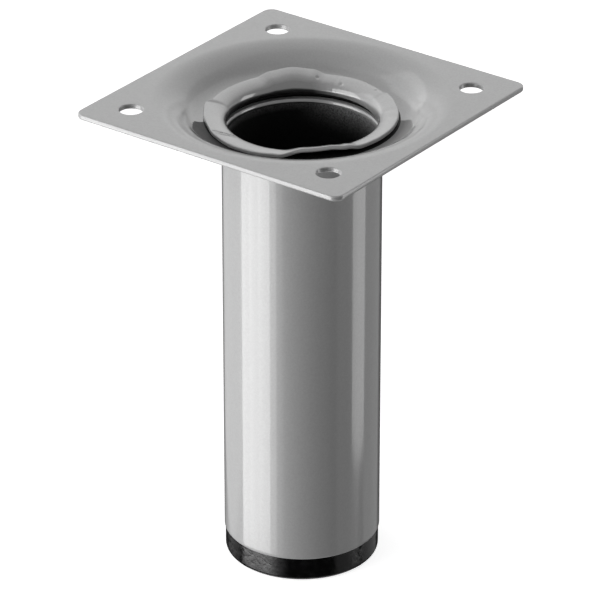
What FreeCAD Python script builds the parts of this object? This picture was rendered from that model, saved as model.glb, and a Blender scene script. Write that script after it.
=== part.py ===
"""Short round furniture leg: a square pressed mounting plate, a tube rolled over on it, and a foot cap.

Millimetres, +Z up. The leg stands on its foot cap, with the origin at the centre of the cap's underside
and the sides of the plate along X and Y.
"""
import FreeCAD, Part
import math
import os
import Sketcher

V = FreeCAD.Vector

# Driving sizes: name, value in millimetres, degrees or a plain count, and what it is
SIZES = (
    ("leg_height", 95.0, "floor to the plate's top face"),
    ("plate_side", 60.0, "side of the square plate"),
    ("plate_sheet", 1.0, "thickness of the plate's sheet"),
    ("plate_corner", 2.0, "radius of the plate's corners"),
    ("plate_edge_round", 0.25, "rounding along the plate's cut edges"),
    ("hole_size", 4.5, "diameter of a screw hole"),
    ("hole_inset", 7.5, "screw hole centre to the plate's edge"),
    ("dish_border", 2.0, "flat sheet left between the dish and the middle of a side"),
    ("dish_depth", 4.05, "plate's top face down to the dish's floor"),
    ("dish_crest", 0.68, "share of the dish's slope that is the upper, outward curve"),
    ("dish_margin", 0.4, "lip's edge to the foot of the dish's slope"),
    ("tube_diameter", 30.0, "outside diameter of the tube"),
    ("tube_wall", 1.0, "wall of the tube"),
    ("tube_end_round", 0.2, "rounding of the tube's lower end"),
    ("fit_gap", 0.05, "play between pieces that fit in or on each other"),
    ("bead_height", 1.9, "height of the bead that carries the plate"),
    ("groove_height", 0.5, "height of the groove inside the bead"),
    ("groove_round", 0.35, "rounding at the groove's mouth"),
    ("lip_wall", 0.8, "wall of the lip, thinned as it is rolled out"),
    ("lip_bend", 0.5, "inside radius of the lip's bend"),
    ("lip_length", 2.7, "flat of the lip beyond its bend"),
    ("lip_angle", 90.0, "how far the lip is bent over, from upright"),
    ("back_lobe_at", 132.0, "direction of the raised lobe at the back"),
    ("back_lobe_span", 55.0, "angle that the back lobe takes up"),
    ("back_lobe_lift", 28.0, "how much less the back lobe is bent over"),
    ("back_lobe_extra", 0.75, "how much longer the lip is at the back lobe"),
    ("front_lobe_at", 320.0, "direction of the pinched lobe in front"),
    ("front_lobe_span", 50.0, "angle that the front lobe takes up"),
    ("front_lobe_lift", 26.0, "how much less the front lobe is bent over"),
    ("front_lobe_short", 0.4, "how much shorter the lip is at the front lobe"),
    ("cap_height", 4.8, "visible rim of the foot cap"),
    ("cap_diameter", 29.6, "diameter of the foot cap's rim"),
    ("cap_round", 0.7, "rounding of the cap's bottom edge"),
    ("cap_floor", 2.0, "thickness of the cap's bottom"),
    ("plug_length", 12.0, "length of the plug inside the tube"),
    ("plug_wall", 1.5, "wall of the plug"),
    ("plug_play", 0.8, "plug's wall to the tube's bore, between the ribs"),
    ("plug_taper", 0.6, "chamfer at the plug's leading edge"),
    ("rib_width", 1.2, "width of a rib on the plug"),
    ("rib_count", 8, "ribs round the plug"),
)

# The lip is described by this many columns of control points round the axis, and joined within this distance
LIP_COLUMNS = 72
JOIN_TOLERANCE = 1e-4

doc = FreeCAD.newDocument("table_leg")
sheet = doc.addObject("Spreadsheet::Sheet", "Sizes")
for row, (alias, value, meaning) in enumerate(SIZES, start=1):
    sheet.set(f"A{row}", meaning)
    sheet.set(f"B{row}", str(value))
    sheet.setAlias(f"B{row}", alias)
doc.recompute()


def size(alias):
    """Reads one driving size from the sheet."""
    return float(sheet.get(alias))


# Places that several pieces share, as expressions of the driving sizes
TUBE_R = "Sizes.tube_diameter / 2"
BORE_R = "(Sizes.tube_diameter / 2 - Sizes.tube_wall)"
DISH_FLOOR_Z = "(Sizes.leg_height - Sizes.dish_depth)"
PLATE_UNDER_Z = "(Sizes.leg_height - Sizes.dish_depth - Sizes.plate_sheet)"


def origin_plane(body, role):
    """Finds one of the body's own origin planes."""
    return next(feature for feature in body.Origin.OriginFeatures if feature.Role == role)


def new_sketch(body, role, name):
    """Adds a sketch that lies on one of the body's origin planes."""
    sketch = body.newObject("Sketcher::SketchObject", name)
    sketch.AttachmentSupport = [(origin_plane(body, role), "")]
    sketch.MapMode = "FlatFace"
    return sketch


def number(sketch, expression):
    """Works out an expression of the sheet as a plain number."""
    result = sketch.evalExpression(expression)
    return float(getattr(result, "Value", result))


def pin(sketch, geometry, point, x, y):
    """Holds one point of the sketch at two expressions, measured from the sketch's origin."""
    for kind, expression in (("DistanceX", x), ("DistanceY", y)):
        value = number(sketch, expression)
        index = sketch.addConstraint(Sketcher.Constraint(kind, -1, 1, geometry, point, value))
        sketch.setExpression(f"Constraints[{index}]", expression)


def draw_outline(sketch, start, steps):
    """Draws a closed outline of lines and arcs.

    start is a point, and each step is the next corner, as two expressions. A step with a third and a fourth
    entry is an arc, with its radius and +1 where it turns left or -1 where it turns right. The outline
    closes with a line, unless the last step comes back to the start.
    """
    corners = [start] + [step[:2] for step in steps]
    closing = steps[-1][:2] != start
    if not closing:
        corners.pop()
    count = len(corners)
    moves = list(steps) + ([start] if closing else [])
    for index, move in enumerate(moves):
        begin = V(*[number(sketch, value) for value in corners[index]], 0)
        end = V(*[number(sketch, value) for value in move[:2]], 0)
        if len(move) == 2:
            sketch.addGeometry(Part.LineSegment(begin, end), False)
            continue
        radius = number(sketch, move[2])
        chord = end - begin
        left = V(-chord.y, chord.x, 0).normalize()
        bow = radius - math.sqrt(max(radius**2 - (chord.Length / 2) ** 2, 0.0))
        middle = (begin + end) / 2 - left * bow * move[3]
        sketch.addGeometry(Part.Arc(begin, middle, end), False)
    # An arc's own start is its right-hand end, so it is at the far corner where the arc turns right
    starts = [2 if len(move) == 4 and move[3] < 0 else 1 for move in moves]
    for index, move in enumerate(moves):
        after = (index + 1) % count
        sketch.addConstraint(Sketcher.Constraint("Coincident", index, 3 - starts[index], after, starts[after]))
        pin(sketch, index, starts[index], *corners[index])
    for index, move in enumerate(moves):
        if len(move) == 4:
            value = number(sketch, move[2])
            constraint = sketch.addConstraint(Sketcher.Constraint("Radius", index, value))
            sketch.setExpression(f"Constraints[{constraint}]", move[2])


def new_body(name):
    """Adds a body with its label."""
    body = doc.addObject("PartDesign::Body", name)
    body.Label = name
    return body


def revolve(body, sketch, name):
    """Turns a sketch on the XZ plane all the way round the Z axis."""
    feature = body.newObject("PartDesign::Revolution", name)
    feature.Profile = sketch
    feature.ReferenceAxis = (sketch, ["V_Axis"])
    feature.Angle = 360.0
    doc.recompute()
    return feature


def pad(body, sketch, name, length, downwards=False):
    """Thickens a sketch to a length given as an expression."""
    feature = body.newObject("PartDesign::Pad", name)
    feature.Profile = sketch
    feature.setExpression("Length", length)
    feature.Reversed = downwards
    doc.recompute()
    return feature


def add_circle(sketch, x, y, diameter):
    """Draws a circle with its centre and diameter held by expressions."""
    centre = V(number(sketch, x), number(sketch, y), 0)
    across = number(sketch, diameter)
    index = sketch.addGeometry(Part.Circle(centre, V(0, 0, 1), across / 2), False)
    if (x, y) == ("0", "0"):
        sketch.addConstraint(Sketcher.Constraint("Coincident", index, 3, -1, 1))
    else:
        pin(sketch, index, 3, x, y)
    constraint = sketch.addConstraint(Sketcher.Constraint("Diameter", index, across))
    sketch.setExpression(f"Constraints[{constraint}]", diameter)


def pocket(body, sketch, name, before):
    """Cuts a sketch through the whole body, above and below its plane, and checks that something was cut."""
    feature = body.newObject("PartDesign::Pocket", name)
    feature.Profile = sketch
    feature.Type = "ThroughAll"
    feature.Midplane = True
    doc.recompute()
    if feature.Shape.Volume >= before.Shape.Volume:
        raise RuntimeError(f"{name} cuts nothing")
    return feature


def polar_pattern(body, feature, name, count):
    """Repeats a feature evenly round the Z axis, and makes the pattern the body's tip."""
    pattern = body.newObject("PartDesign::PolarPattern", name)
    pattern.Originals = [feature]
    pattern.Axis = (origin_plane(body, "Z_Axis"), [""])
    pattern.Angle = 360.0
    pattern.setExpression("Occurrences", count)
    body.Tip = pattern
    doc.recompute()
    return pattern


def round_edges(body, base, name, edges, radius):
    """Rounds the named edges of a feature."""
    feature = body.newObject("PartDesign::Fillet", name)
    feature.Base = (base, edges)
    feature.setExpression("Radius", radius)
    doc.recompute()
    return feature


def edge_names(shape, wanted):
    """Names the edges of a shape that a test picks out."""
    return [f"Edge{index}" for index, edge in enumerate(shape.Edges, start=1) if wanted(edge)]


def is_upright(edge):
    """True for a straight edge along Z."""
    first, last = edge.Vertexes[0].Point, edge.Vertexes[-1].Point
    return isinstance(edge.Curve, Part.Line) and abs((last - first).normalize().z) > 0.999


def make_mounting_plate():
    """The pressed plate: a square sheet with a dish, the tube's hole and four screw holes."""
    body = new_body("mounting_plate")
    half, top, sheet_size = "Sizes.plate_side / 2", "Sizes.leg_height", "Sizes.plate_sheet"
    mouth = "(Sizes.plate_side / 2 - Sizes.dish_border)"

    blank = new_sketch(body, "XY_Plane", "plate_blank")
    blank.setExpression("AttachmentOffset.Base.z", top)
    corners = [(f"{sx}{half}", f"{sy}{half}") for sx, sy in (("-", "-"), ("", "-"), ("", ""), ("-", ""))]
    draw_outline(blank, corners[0], corners[1:])
    flat = pad(body, blank, "plate_flat", sheet_size, downwards=True)
    upright = edge_names(flat.Shape, is_upright)
    rounded = round_edges(body, flat, "plate_corners", upright, "Sizes.plate_corner")
    level = edge_names(rounded.Shape, lambda edge: not is_upright(edge))
    eased = round_edges(body, rounded, "plate_eased_edges", level, "Sizes.plate_edge_round")

    opening = new_sketch(body, "XY_Plane", "dish_opening")
    opening.setExpression("AttachmentOffset.Base.z", top)
    add_circle(opening, "0", "0", f"2 * {mouth}")
    cleared = pocket(body, opening, "dish_clearing", eased)

    # The dish's slope is two tangent arcs: the crest turns down from the plate, the foot turns level again
    floor_r = f"({TUBE_R} + Sizes.lip_bend + Sizes.lip_length + Sizes.dish_margin)"
    slope = f"2 * atan(Sizes.dish_depth / ({mouth} - {floor_r}))"
    arcs = f"({mouth} - {floor_r}) / sin({slope})"
    crest = f"({arcs} * Sizes.dish_crest)"
    foot = f"({arcs} * (1 - Sizes.dish_crest))"
    hole = f"({TUBE_R} + Sizes.fit_gap)"
    hole_round = "(Sizes.lip_bend + 2 * Sizes.fit_gap)"
    turn_r = f"({mouth} - {crest} * sin({slope}))"
    turn_z = f"({top} - {crest} * (1 - cos({slope})))"
    under_turn_r = f"({turn_r} + {sheet_size} * sin({slope}))"
    under_turn_z = f"({turn_z} - {sheet_size} * cos({slope}))"
    profile = new_sketch(body, "XZ_Plane", "dish_profile")
    draw_outline(profile, (mouth, top), [
        (turn_r, turn_z, crest, +1),
        (floor_r, DISH_FLOOR_Z, foot, -1),
        (f"({hole} + {hole_round})", DISH_FLOOR_Z),
        (hole, f"({DISH_FLOOR_Z} - {hole_round})", hole_round, +1),
        (hole, PLATE_UNDER_Z),
        (floor_r, PLATE_UNDER_Z),
        (under_turn_r, under_turn_z, f"({foot} + {sheet_size})", +1),
        (mouth, f"({top} - {sheet_size})", f"({crest} - {sheet_size})", -1),
    ])
    dished = revolve(body, profile, "dish")
    print("dish adds", round(dished.Shape.Volume - cleared.Shape.Volume, 1), "mm3")

    screw = new_sketch(body, "XY_Plane", "screw_hole")
    screw.setExpression("AttachmentOffset.Base.z", top)
    place = f"{half} - Sizes.hole_inset"
    add_circle(screw, place, place, "Sizes.hole_size")
    drilled = pocket(body, screw, "screw_hole_cut", dished)
    polar_pattern(body, drilled, "screw_holes", "4")
    print("screw holes remove", round(dished.Shape.Volume - body.Shape.Volume, 2), "mm3")
    return body


def make_tube_wall():
    """The straight tube up to its neck in the plate, with the bead that carries the plate."""
    body = new_body("tube_wall")
    bead_top = f"({PLATE_UNDER_Z} - Sizes.fit_gap)"
    bead_r, groove_r = "(Sizes.bead_height / 2)", "(Sizes.groove_height / 2)"
    middle = f"({bead_top} - {bead_r})"
    mouth = "Sizes.groove_round"
    seat = "Sizes.cap_height"
    ease = "Sizes.tube_end_round"
    profile = new_sketch(body, "XZ_Plane", "tube_profile")
    draw_outline(profile, (f"({TUBE_R} - {ease})", seat), [
        (TUBE_R, f"({seat} + {ease})", ease, +1),
        (TUBE_R, f"({middle} - {bead_r})"),
        (f"({TUBE_R} + {bead_r})", middle, bead_r, +1),
        (TUBE_R, bead_top, bead_r, +1),
        (TUBE_R, PLATE_UNDER_Z),
        (BORE_R, PLATE_UNDER_Z),
        (BORE_R, f"({middle} + {groove_r} + {mouth})"),
        (f"({BORE_R} + {mouth})", f"({middle} + {groove_r})", mouth, +1),
        (TUBE_R, f"({middle} + {groove_r})"),
        (f"({TUBE_R} + {groove_r})", middle, groove_r, -1),
        (TUBE_R, f"({middle} - {groove_r})", groove_r, -1),
        (f"({BORE_R} + {mouth})", f"({middle} - {groove_r})"),
        (BORE_R, f"({middle} - {groove_r} - {mouth})", mouth, +1),
        (BORE_R, seat),
    ])
    revolve(body, profile, "tube")
    return body


def lobe(direction, at, span):
    """1 on the flat top of a lobe, falling smoothly to 0 at the ends of its span, in degrees."""
    away = abs((direction - at + 180.0) % 360.0 - 180.0)
    if away >= span / 2:
        return 0.0
    fallen = 0.5 * (1.0 - math.cos(2.0 * math.pi * away / span))
    return 1.0 - fallen**2


def lip_section(direction):
    """Control points of the lip's two skins in one direction, as (radius, height) pairs.

    The lip is a length of wall bent over by an angle. Where it is bent less it stands higher and reaches less
    far, which is what gives the lip its waves.
    """
    back = lobe(direction, size("back_lobe_at"), size("back_lobe_span"))
    front = lobe(direction, size("front_lobe_at"), size("front_lobe_span"))
    lift = back * size("back_lobe_lift") + front * size("front_lobe_lift")
    extra = back * size("back_lobe_extra") - front * size("front_lobe_short")
    bent = math.radians(size("lip_angle") - lift)
    along = (math.sin(bent), math.cos(bent))
    across = (-math.cos(bent), math.sin(bent))
    tube_r = size("tube_diameter") / 2
    bore_r = tube_r - size("tube_wall")
    floor_z = size("leg_height") - size("dish_depth")
    neck_z = floor_z - size("plate_sheet")
    bend_z = floor_z + size("fit_gap") - size("lip_bend")

    def skin(radius, corner_z, bend, length, shift):
        """One skin: neck, start of the bend, corner, end of the bend, edge."""
        reach = bend * math.tan(bent / 2)
        corner = (radius, corner_z)
        after = (corner[0] + along[0] * reach, corner[1] + along[1] * reach)
        edge = (shift[0] + along[0] * length, shift[1] + along[1] * length)
        return [(radius, neck_z), (radius, corner_z - reach), corner, after, edge]

    wall = size("lip_wall")
    reach = size("lip_bend") * math.tan(bent / 2)
    length = reach + size("lip_length") + extra
    under_corner = (tube_r, bend_z + reach)
    under = skin(tube_r, under_corner[1], size("lip_bend"), length, under_corner)
    over_start = (under_corner[0] + across[0] * wall, under_corner[1] + across[1] * wall)
    step = (bore_r - over_start[0]) / along[0]
    over_corner_z = over_start[1] + step * along[1]
    over = skin(bore_r, over_corner_z, size("lip_bend") + size("tube_wall"), length, over_start)
    return under, over


def ring_surface(columns):
    """A smooth surface, closed round the axis, from columns of (radius, height) control points.

    The spline runs slightly inside its control points, so the radii are widened to bring it onto them.
    """
    count = len(columns)
    step = 2.0 * math.pi / count
    widen = 3.0 / (2.0 + math.cos(step))
    poles = []
    for index, column in enumerate(columns):
        angle = step * (index - 1)
        cosine, sine = math.cos(angle) * widen, math.sin(angle) * widen
        poles.append([V(radius * cosine, radius * sine, height) for radius, height in column])
    rows = len(columns[0])
    degree = min(3, rows - 1)
    inner_knots = rows - degree
    ends = [degree + 1] + [1] * (inner_knots - 1) + [degree + 1]
    surface = Part.BSplineSurface()
    surface.buildFromPolesMultsKnots(
        poles, [1] * (count + 1), ends, list(range(count + 1)), list(range(len(ends))), True, False, 3, degree
    )
    return surface.toShape()


def make_rolled_lip():
    """The lip above the neck, as a solid ring between its two skins."""
    directions = [360.0 / LIP_COLUMNS * (index - 1) for index in range(LIP_COLUMNS)]
    sections = [lip_section(direction) for direction in directions]
    skins = [
        ring_surface([section[0] for section in sections]),
        ring_surface([section[1] for section in sections]),
        ring_surface([[section[0][-1], section[1][-1]] for section in sections]),
        ring_surface([[section[0][0], section[1][0]] for section in sections]),
    ]
    shell = Part.makeShell(skins)
    shell.sewShape()
    lip = doc.addObject("Part::Feature", "rolled_lip")
    lip.Shape = Part.makeSolid(shell)
    lip.Placement = FreeCAD.Placement()
    return lip


def make_leg_tube(tube_wall, lip):
    """The whole tube: the straight wall and the rolled lip, joined at the neck into one solid."""
    leg_tube = doc.addObject("Part::Feature", "leg_tube")
    leg_tube.Label = "leg_tube"
    leg_tube.Shape = tube_wall.Shape.fuse((lip.Shape,), JOIN_TOLERANCE)
    leg_tube.Placement = FreeCAD.Placement()
    return leg_tube


def make_foot_cap():
    """The moulded cap: a solid rim below the tube, and a hollow plug with ribs that grip the bore."""
    body = new_body("foot_cap")
    rim_r, rim_z, ease = "Sizes.cap_diameter / 2", "Sizes.cap_height", "Sizes.cap_round"
    plug_r = f"({BORE_R} - Sizes.plug_play)"
    plug_in = f"({plug_r} - Sizes.plug_wall)"
    plug_top = f"({rim_z} + Sizes.plug_length)"
    profile = new_sketch(body, "XZ_Plane", "cap_profile")
    draw_outline(profile, ("0", "0"), [
        (f"({rim_r} - {ease})", "0"),
        (rim_r, ease, ease, +1),
        (rim_r, rim_z),
        (plug_r, rim_z),
        (plug_r, f"({plug_top} - Sizes.plug_taper)"),
        (f"({plug_r} - Sizes.plug_taper)", plug_top),
        (plug_in, plug_top),
        (plug_in, "Sizes.cap_floor"),
        ("0", "Sizes.cap_floor"),
    ])
    turned = revolve(body, profile, "cap")

    ribs = new_sketch(body, "XY_Plane", "rib_outline")
    ribs.setExpression("AttachmentOffset.Base.z", rim_z)
    root, tip = f"({plug_r} - Sizes.plug_wall / 2)", f"({BORE_R} - Sizes.fit_gap)"
    half = "Sizes.rib_width / 2"
    draw_outline(ribs, (root, f"-{half}"), [(tip, f"-{half}"), (tip, half), (root, half)])
    rib = pad(body, ribs, "rib", "Sizes.plug_length - 2 * Sizes.plug_taper")
    polar_pattern(body, rib, "ribs", "Sizes.rib_count")
    print("ribs add", round(body.Shape.Volume - turned.Shape.Volume, 2), "mm3")
    return body


def check(parts):
    """Stops if any object of the document failed or a sub-part's shape is not one sound solid."""
    for item in doc.Objects:
        if {"Invalid", "Error"} & set(item.State):
            raise RuntimeError(f"{item.Name} is {item.State}")
    for part in parts:
        shape = part.Shape
        if shape.isNull() or not shape.isValid() or len(shape.Solids) != 1:
            raise RuntimeError(f"{part.Label} is not one valid solid")


plate = make_mounting_plate()
tube = make_leg_tube(make_tube_wall(), make_rolled_lip())
cap = make_foot_cap()
doc.recompute()
sub_parts = (plate, tube, cap)
check(sub_parts)
os.makedirs("parts", exist_ok=True)
for part in sub_parts:
    part.Shape.exportStep(f"parts/{part.Label}.step")
    box = part.Shape.BoundBox
    print(part.Label, "volume", round(part.Shape.Volume, 1), "z", round(box.ZMin, 3), "to", round(box.ZMax, 3))
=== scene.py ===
# %% [markdown]
# # A short furniture leg: pressed plate, rolled tube, moulded cap
#
# The real object carries a sofa or a cabinet about a hand's breadth above the floor. It comes apart
# into three pieces: a square plate pressed from sheet steel, a round steel tube whose top end is
# rolled over the plate's hole, and a black plastic cap that is pushed into the tube's lower end.
#
# The lesson dresses a leg that already exists as an engineering model. That model is loaded first and
# stays where it is, because its sizes are the true ones. Everything made below sits in the same
# space, in metres, with the floor at height 0 and the tube standing on the Z axis.

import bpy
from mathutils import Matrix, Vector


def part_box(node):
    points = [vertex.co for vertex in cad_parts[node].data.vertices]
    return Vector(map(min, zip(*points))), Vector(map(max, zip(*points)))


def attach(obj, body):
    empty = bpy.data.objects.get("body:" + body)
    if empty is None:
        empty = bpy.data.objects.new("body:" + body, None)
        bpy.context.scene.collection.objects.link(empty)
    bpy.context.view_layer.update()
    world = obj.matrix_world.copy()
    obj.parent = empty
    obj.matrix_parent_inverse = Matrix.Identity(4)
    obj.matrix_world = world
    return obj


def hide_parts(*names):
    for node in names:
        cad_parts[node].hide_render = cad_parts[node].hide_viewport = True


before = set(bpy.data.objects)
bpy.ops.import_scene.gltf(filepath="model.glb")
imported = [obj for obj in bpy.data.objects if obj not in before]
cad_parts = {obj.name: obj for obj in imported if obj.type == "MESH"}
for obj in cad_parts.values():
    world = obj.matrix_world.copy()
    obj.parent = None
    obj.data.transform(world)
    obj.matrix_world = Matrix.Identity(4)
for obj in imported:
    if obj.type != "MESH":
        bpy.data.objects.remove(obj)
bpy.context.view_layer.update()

# %% Bring in the modules that the lesson uses
import math

import bmesh
import bpy
from mathutils import Matrix, Vector

MM = 0.001
print("one millimetre is", MM, "of Blender's units here")

# %% [markdown]
# ## The camera
#
# A product picture of such a leg is taken from well away with a long lens, which keeps the sides of
# the tube almost parallel. The place of a camera could be found by hand in the viewport. Here it is
# built from numbers that say what they mean: how far round the leg the camera stands, how far above
# the horizon, how far away, and which point it aims at. Three directions at right angles, to the
# right, up and back, are then the columns of the camera's matrix.

# %% Place the camera
CAMERA_TURN = math.radians(36.50)
CAMERA_RISE = math.radians(27.47)
CAMERA_DISTANCE = 850.0 * MM
CAMERA_LENS = 269.0
AIM_HEIGHT = 50.0 * MM
AIM_RIGHT = -0.38 * MM
AIM_UP = 2.66 * MM

camera_back = Vector((
    math.sin(CAMERA_TURN) * math.cos(CAMERA_RISE),
    -math.cos(CAMERA_TURN) * math.cos(CAMERA_RISE),
    math.sin(CAMERA_RISE),
))
camera_right = Vector((math.cos(CAMERA_TURN), math.sin(CAMERA_TURN), 0.0))
camera_up = camera_back.cross(camera_right)
aim = Vector((0.0, 0.0, AIM_HEIGHT)) + camera_right * AIM_RIGHT + camera_up * AIM_UP

camera = bpy.data.objects.new("camera", bpy.data.cameras.new("camera"))
camera.data.lens = CAMERA_LENS
camera.data.clip_start = 10.0 * MM
camera.data.clip_end = 20.0
turned = Matrix((camera_right, camera_up, camera_back)).transposed().to_4x4()
camera.matrix_world = Matrix.Translation(aim + camera_back * CAMERA_DISTANCE) @ turned
bpy.context.scene.collection.objects.link(camera)
bpy.context.scene.camera = camera
print("camera at", [round(value, 3) for value in camera.location])

# %% [markdown]
# ## Rings, the one tool behind every piece
#
# All three pieces are thin walls bent round an axis. Blender has a Screw modifier that turns a
# profile, and a Solidify modifier that gives a sheet its thickness. Neither helps where the profile
# itself changes on its way round, as the rolled lip's does. So each piece is written as a list of
# rings: closed loops with equally many points, each joined to the next with four-sided faces. An arc
# of a profile is always a few short steps between two angles, so that bends stay smooth.

# %% Helpers for arcs, circles and rings
def arc(centre, radius, start, end, steps):
    """Points (radius, height) of a profile's arc from one angle to another, in degrees, ends included."""
    angles = [math.radians(start + (end - start) * step / steps) for step in range(steps + 1)]
    return [(centre[0] + radius * math.cos(a), centre[1] + radius * math.sin(a)) for a in angles]


def circle(centre, radius, height, count):
    """A level ring of points round a centre."""
    x, y = centre
    turns = [2.0 * math.pi * index / count for index in range(count)]
    return [Vector((x + radius * math.cos(t), y + radius * math.sin(t), height)) for t in turns]


def add_rings(bm, rings, closed=False):
    """Joins each ring of points to the next with quads, and returns the rings of new vertices."""
    made = [[bm.verts.new(point) for point in ring] for ring in rings]
    count = len(made[0])
    pairs = list(zip(made, made[1:] + made[:1])) if closed else list(zip(made, made[1:]))
    for lower, upper in pairs:
        for index in range(count):
            after = (index + 1) % count
            bm.faces.new((lower[index], lower[after], upper[after], upper[index]))
    return made


def fill_between(bm, rings):
    """Fills the flat area inside the first ring and outside the others."""
    edges = [bm.edges.get((ring[index - 1], ring[index])) for ring in rings for index in range(len(ring))]
    bmesh.ops.triangle_fill(bm, use_beauty=True, edges=edges)


print("helpers for arcs, circles and rings are ready")

# %% Helpers that turn a mesh into an object
SHARP_ANGLE = math.radians(40.0)


def add_object(name, bm, materials):
    """Puts the finished mesh into the scene as an object with its materials."""
    mesh = bpy.data.meshes.new(name)
    bm.to_mesh(mesh)
    bm.free()
    for material in materials:
        mesh.materials.append(material)
    made = bpy.data.objects.new(name, mesh)
    bpy.context.scene.collection.objects.link(made)
    return made


def finish_piece(name, bm, materials, replaced):
    """Adds a smooth object that rides on the leg and stands for an engineering node."""
    bmesh.ops.recalc_face_normals(bm, faces=bm.faces)
    piece = add_object(name, bm, materials)
    mesh = piece.data
    mesh.shade_smooth()
    mesh.set_sharp_from_angle(angle=SHARP_ANGLE)
    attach(piece, "root")
    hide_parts(replaced)
    triangles = sum(len(face.vertices) - 2 for face in mesh.polygons)
    print(name, "has", triangles, "triangles and replaces", replaced)


print("an edge stays sharp above", round(math.degrees(SHARP_ANGLE)), "degrees")

# %% [markdown]
# ## Silver-grey powder coat
#
# Plate and tube are sprayed with a dry grey powder that melts into a tough, fairly glossy skin. The
# body of the paint is a plain grey, and the shine is that of any clear plastic: weak when looked at
# straight on, strong at a glance. A metallic shader would be wrong, because it would tint and
# strengthen every reflection. So the shader has a plain base, with a sharp coat on top.
#
# Up close the skin is never flat. It has a soft waviness a millimetre or two across, known as orange
# peel, on slower waves where the melted powder flowed, and flakes that give a faint speckle. A
# photographed texture could show them, but it would have to be unwrapped onto every bend. Noise in
# the piece's own space needs no unwrapping: it gives the waves as bump, and the speckle as a small
# change of colour.

# %% Helpers that start a material
def emptied_tree(owner):
    """The node tree of a material or a world, with nothing in it yet."""
    owner.use_nodes = True
    owner.node_tree.nodes.clear()
    return owner.node_tree


def new_material(name):
    """A new material, its node tree and its shader."""
    material = bpy.data.materials.new(name)
    tree = emptied_tree(material)
    shader = tree.nodes.new("ShaderNodeBsdfPrincipled")
    output = tree.nodes.new("ShaderNodeOutputMaterial")
    tree.links.new(shader.outputs["BSDF"], output.inputs["Surface"])
    return material, tree, shader


print("a material starts as a shader and an output")

# %% Helpers for noise, levels and bump in a material
# Nearly all of a noise lies between these two values
NOISE_LOW = 0.3
NOISE_HIGH = 0.7


def noise_at(tree, size, detail=2.0):
    """Noise in the object's own space, with features about that large."""
    place = tree.nodes.new("ShaderNodeTexCoord")
    noise = tree.nodes.new("ShaderNodeTexNoise")
    noise.inputs["Scale"].default_value = 1.0 / size
    noise.inputs["Detail"].default_value = detail
    tree.links.new(place.outputs["Object"], noise.inputs["Vector"])
    return noise.outputs["Fac"]


def to_range(tree, value, low, high, start=NOISE_LOW, end=NOISE_HIGH):
    """Maps a value that runs from start to end onto a range of plain numbers."""
    mapping = tree.nodes.new("ShaderNodeMapRange")
    mapping.inputs["From Min"].default_value = start
    mapping.inputs["From Max"].default_value = end
    mapping.inputs["To Min"].default_value = low
    mapping.inputs["To Max"].default_value = high
    tree.links.new(value, mapping.inputs["Value"])
    return mapping.outputs["Result"]


def between(tree, value, dark, light, start=NOISE_LOW, end=NOISE_HIGH):
    """A grey that goes from dark to light as a value goes from start to end."""
    ramp = tree.nodes.new("ShaderNodeValToRGB")
    stops = ramp.color_ramp.elements
    for stop, position, grey in zip(stops, (start, end), (dark, light)):
        stop.position = position
        stop.color = (*grey, 1.0)
    tree.links.new(value, ramp.inputs["Fac"])
    return ramp.outputs["Color"]


def bump(tree, value, depth, under=None):
    """Raises the surface with a noise value by up to that depth, on top of another bump."""
    node = tree.nodes.new("ShaderNodeBump")
    node.inputs["Strength"].default_value = 1.0
    node.inputs["Distance"].default_value = depth
    tree.links.new(value, node.inputs["Height"])
    if under is not None:
        tree.links.new(under, node.inputs["Normal"])
    return node.outputs["Normal"]


print("noise is read between", NOISE_LOW, "and", NOISE_HIGH)

# %% Mix the silver coat
COAT_DARK = (0.352, 0.352, 0.353)
COAT_LIGHT = (0.392, 0.392, 0.393)
COAT_ROUGHNESS = (0.34, 0.42)
SPECKLE_SIZE = 0.35 * MM
PEEL_SIZE = 1.6 * MM
PEEL_DEPTH = 0.0022 * MM
FLOW_SIZE = 9.0 * MM
FLOW_DEPTH = 0.006 * MM


def make_silver_coat():
    """Grey paint under a sharp coat, with speckle, uneven gloss, orange peel and slow waves."""
    material, tree, shader = new_material("silver_coat")
    speckle = noise_at(tree, SPECKLE_SIZE, detail=3.0)
    tree.links.new(between(tree, speckle, COAT_DARK, COAT_LIGHT), shader.inputs["Base Color"])
    peel = noise_at(tree, PEEL_SIZE)
    tree.links.new(to_range(tree, peel, *COAT_ROUGHNESS), shader.inputs["Roughness"])
    flow = noise_at(tree, FLOW_SIZE, detail=1.0)
    skin = bump(tree, flow, FLOW_DEPTH, under=bump(tree, peel, PEEL_DEPTH))
    tree.links.new(skin, shader.inputs["Normal"])
    tree.links.new(skin, shader.inputs["Coat Normal"])
    shader.inputs["Metallic"].default_value = 0.0
    shader.inputs["Specular IOR Level"].default_value = 0.4
    shader.inputs["Coat Weight"].default_value = 1.0
    shader.inputs["Coat Roughness"].default_value = 0.09
    shader.inputs["Coat IOR"].default_value = 1.6
    return material


silver_coat = make_silver_coat()
print("mixed", silver_coat.name, "with", len(silver_coat.node_tree.nodes), "nodes")

# %% [markdown]
# Inside the lip's funnel the coat's grey is darkened towards the bore as painted shade, because the
# funnel is a recess that little light reaches. It could be painted on as a mask, but the surface's own
# upward slope says it without one: level faces keep the full grey, and steep ones lose most of it. The
# inner wall that the main light reaches keeps its full grey in spite of its slope, as painted light. A
# dot product tells how far a point lies towards that wall. The funnel also shines more than the rest
# of the paint, so its coat gets a higher index of refraction.

# %% Helpers that read the place and slope of the surface
# Side that the main light reaches; colours are lightened towards it as painted light
LIT_SIDE = math.radians(72.0)


def upward(tree, output):
    """The Z part of the surface's place (Object) or direction (Normal) in its own space."""
    place = tree.nodes.new("ShaderNodeTexCoord")
    parts = tree.nodes.new("ShaderNodeSeparateXYZ")
    tree.links.new(place.outputs[output], parts.inputs["Vector"])
    return parts.outputs["Z"]


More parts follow.
